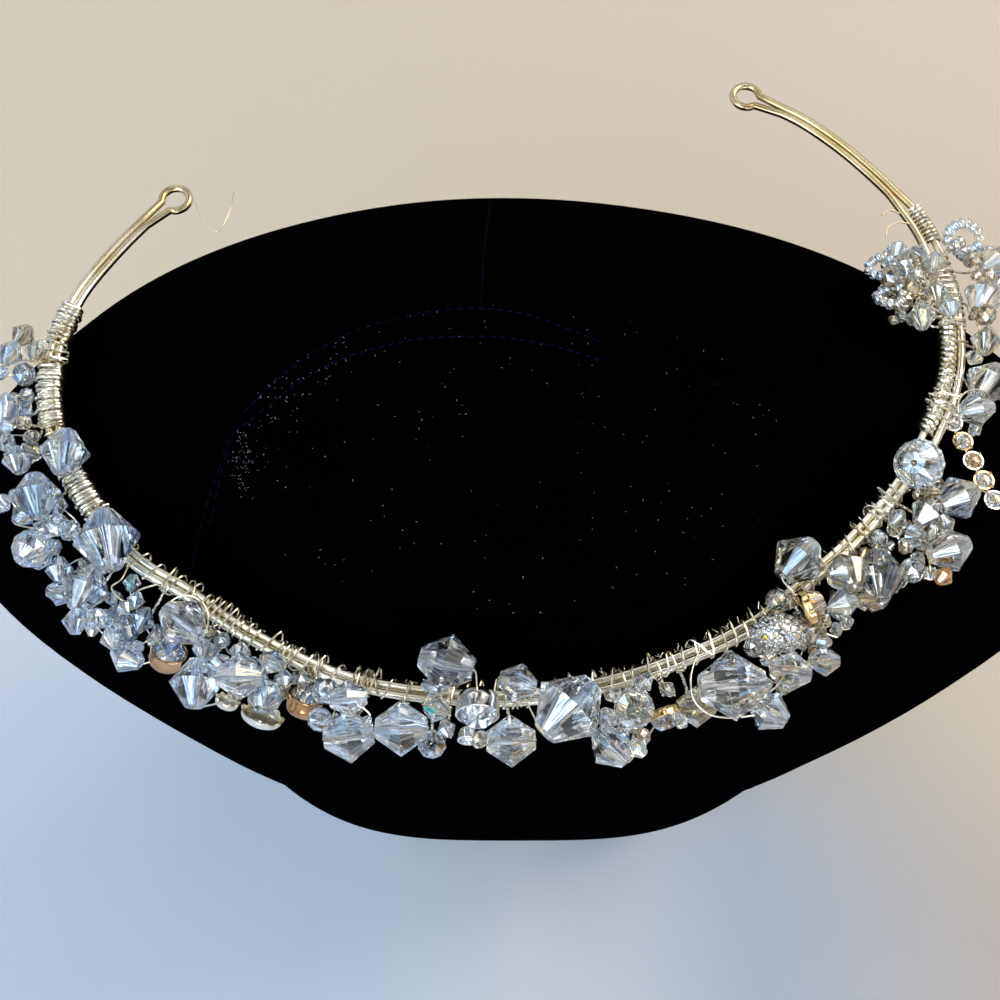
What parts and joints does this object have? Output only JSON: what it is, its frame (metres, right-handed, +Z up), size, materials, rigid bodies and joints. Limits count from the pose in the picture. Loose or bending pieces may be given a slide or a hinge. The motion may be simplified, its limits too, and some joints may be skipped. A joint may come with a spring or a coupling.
{
  "type": "wire-wrapped crystal tiara on a velvet neck bust",
  "caption": "Headband tiara of doubled silver wire wrapped with fine wire, faceted crystals and small set stones along its front, resting on a plain black velvet neck bust.",
  "frame": {"origin": "middle of the bust's flat base, on the face that it stands on", "axes": "+Z up, the chest and the tiara's front face -Y, +X to the right in the front view"},
  "size_m": [0.185, 0.1122, 0.1756],
  "materials": {
    "velvet": "black velvet with a short soft nap",
    "band_wire": "bright silver-plated wire with a champagne tint",
    "fine_wire": "bright fine wire with a champagne tint",
    "crystal_clear": "clear cut crystal with a faint rainbow coat",
    "crystal_smoke": "clear cut crystal that reads dark",
    "crystal_champagne": "champagne cut crystal",
    "small_crystal": "small cut crystals, clear and champagne",
    "rhinestone": "foil-backed rhinestones",
    "cup_metal": "polished gold, rose gold and silver plate",
    "silver_cup": "polished silver plate",
    "pave": "ball set all over with tiny rhinestones"
  },
  "bodies": {
    "root": {"bust_body": "velvet", "neck_disc": "velvet", "core_band": "band_wire", "coil_left_end": "fine_wire", "coil_left_side": "fine_wire", "coil_left_front": "fine_wire", "coil_right_side": "fine_wire", "coil_right_end": "fine_wire", "crystal_01": "crystal_clear", "crystal_02": "crystal_clear", "crystal_03": "crystal_clear", "crystal_04": "crystal_clear", "crystal_05": "crystal_clear", "crystal_06": "crystal_clear", "crystal_07": "crystal_clear", "crystal_08": "crystal_clear", "crystal_09": "crystal_clear", "crystal_10": "crystal_clear", "crystal_11": "crystal_clear", "crystal_12": "crystal_clear", "crystal_13": "crystal_clear", "crystal_14": "crystal_clear", "crystal_15": "crystal_clear", "crystal_16": "crystal_clear", "crystal_17": "crystal_smoke", "crystal_18": "crystal_clear", "crystal_19": "crystal_clear", "crystal_20": "crystal_clear", "crystal_21": "crystal_clear", "crystal_22": "crystal_clear", "crystal_23": "crystal_champagne", "crystal_24": "crystal_clear", "crystal_25": "crystal_clear", "crystal_26": "crystal_clear", "crystal_27": "crystal_clear", "crystal_28": "crystal_clear", "crystal_29": "crystal_clear", "crystal_30": "crystal_clear", "crystal_31": "crystal_clear", "crystal_32": "crystal_clear", "crystal_33": "crystal_clear", "crystal_34": "crystal_clear", "crystal_35": "crystal_clear", "crystal_36": "crystal_clear", "small_beads_left": "small_crystal", "small_beads_right": "small_crystal", "stem_wires": "fine_wire", "bezel_cups": "cup_metal", "bezel_stones": "rhinestone", "crown_cups": "silver_cup", "pave_ball": "pave", "strip_lower": "silver_cup", "strip_upper": "silver_cup", "strip_lower_stones": "rhinestone", "strip_upper_stones": "rhinestone"}
  },
  "joints": []
}
